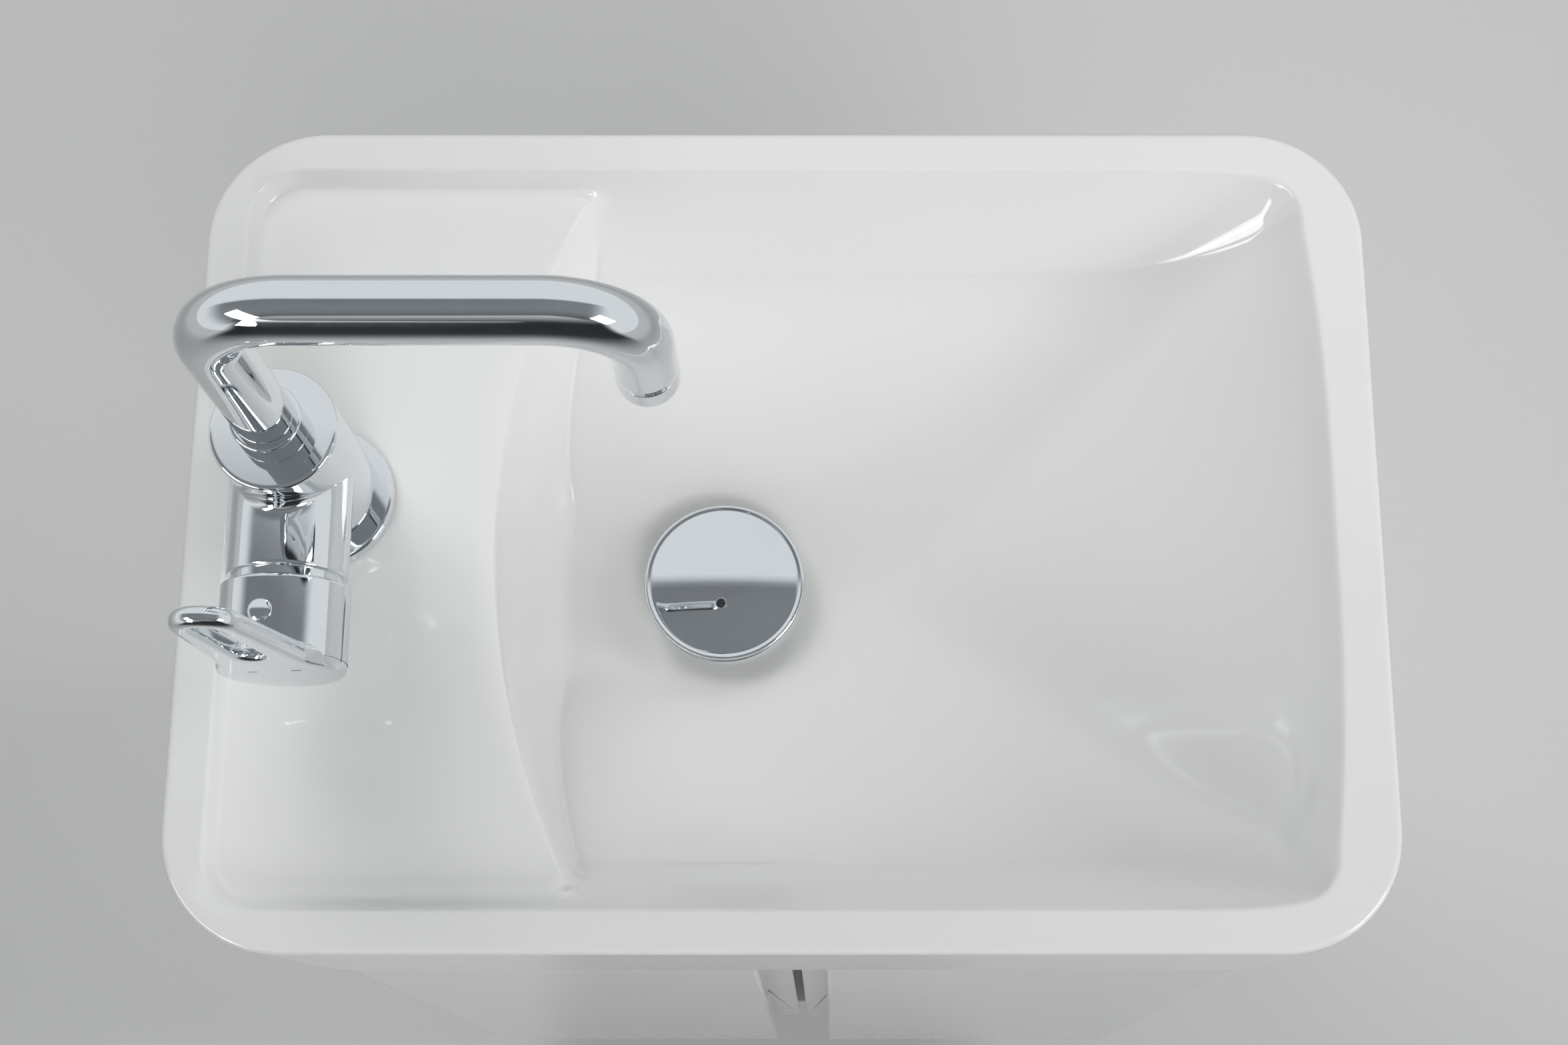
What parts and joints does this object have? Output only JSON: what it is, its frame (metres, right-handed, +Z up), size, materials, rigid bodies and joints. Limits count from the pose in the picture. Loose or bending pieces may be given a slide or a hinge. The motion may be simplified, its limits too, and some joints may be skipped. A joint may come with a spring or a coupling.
{
  "type": "cloakroom vanity unit",
  "caption": "Compact floor-standing vanity unit: white basin with a side tap ledge and sloping bowl, loop-lever mixer with swivel spout, push waste, and a two-door gloss cabinet on legs.",
  "frame": {"origin": "on the floor, under the middle of the basin's outline", "axes": "+X to the right of a person who faces the doors, +Y towards the wall, +Z up"},
  "size_m": [0.4498, 0.3198, 1.0725],
  "materials": {
    "ceramic": "white gloss glaze",
    "lacquer": "white gloss lacquer on fibreboard",
    "board": "white melamine on particle board",
    "dowel": "bare beech",
    "steel": "zinc plated",
    "leg_metal": "satin",
    "chrome": "polished",
    "brass": "machined",
    "dark_plastic": "matt",
    "bearing_plastic": "satin",
    "trap_plastic": "white gloss",
    "rubber": "matt",
    "hot": "red",
    "cold": "blue"
  },
  "bodies": {
    "cabinet": {"basin": "ceramic", "basin_bowl": "ceramic", "side_panel_left": "board", "side_panel_right": "board", "bottom_panel": "board", "front_rail": "board", "upper_back_rail": "board", "lower_back_rail": "board", "shelf": "board", "dowels": "dowel", "cabinet_screws": "steel", "hinge_leaves": "steel", "hinge_pins": "steel", "shelf_pins": "steel", "tap_stud": "steel", "tap_washer": "steel", "legs": "leg_metal", "tap_base_ring": "chrome", "tap_body": "chrome", "groove_ring": "chrome", "spout_collar": "chrome", "waste_body": "chrome", "tap_nut": "brass", "cartridge_nut": "brass", "waste_nut": "brass", "leg_pads": "dark_plastic", "cartridge": "dark_plastic", "waste_guide": "dark_plastic", "spout_bearing": "bearing_plastic", "trap_body": "trap_plastic", "trap_inlet_nut": "trap_plastic", "trap_cup": "trap_plastic", "trap_outlet_nut": "trap_plastic", "trap_outlet_pipe": "trap_plastic", "tap_base_seal": "rubber", "waste_top_seal": "rubber", "waste_lower_seal": "rubber", "door_bumpers": "rubber"},
    "left_door": {"door_panel_left": "lacquer", "grip_strip_left": "lacquer", "strip_screws_left": "steel", "door_bushes_left": "bearing_plastic"},
    "right_door": {"door_panel_right": "lacquer", "grip_strip_right": "lacquer", "strip_screws_right": "steel", "door_bushes_right": "bearing_plastic"},
    "spout": {"spout": "chrome", "aerator_housing": "chrome", "aerator_insert": "dark_plastic"},
    "lever_turn": {"cartridge_head": "dark_plastic", "lift_pin": "steel"},
    "lever": {"lever": "chrome", "lever_stem": "brass", "lever_grub_screw": "steel", "lever_screw_plug": "chrome", "hot_mark": "hot", "cold_mark": "cold"},
    "waste_plug": {"plug_cap": "chrome", "plug_seal": "rubber", "plug_stem": "brass"}
  },
  "joints": [
    {"name": "left_door_hinge", "type": "hinge", "parent": "cabinet", "child": "left_door", "pos_m": [-0.197, -0.134, 0.4235], "axis": [0, 0, -1], "range_deg": [0, 95]},
    {"name": "right_door_hinge", "type": "hinge", "parent": "cabinet", "child": "right_door", "pos_m": [0.197, -0.134, 0.4235], "axis": [0, 0, 1], "range_deg": [0, 95]},
    {"name": "spout_swivel", "type": "hinge", "parent": "cabinet", "child": "spout", "pos_m": [-0.174, 0.011, 0.95], "axis": [0, 0, 1], "range_deg": [-60, 60]},
    {"name": "lever_turn", "type": "hinge", "parent": "cabinet", "child": "lever_turn", "pos_m": [-0.174, -0.027, 0.915], "axis": [0, 1, 0], "range_deg": [-36, 54]},
    {"name": "lever_lift", "type": "hinge", "parent": "lever_turn", "child": "lever", "pos_m": [-0.174, -0.027, 0.915], "axis": [0.9877, 0, 0.1564], "range_deg": [0, 20]},
    {"name": "waste_push", "type": "slide", "parent": "cabinet", "child": "waste_plug", "axis": [0, 0, 1], "range_m": [-0.007, 0], "stiffness_N_per_m": 500, "springref_m": 0.006}
  ]
}
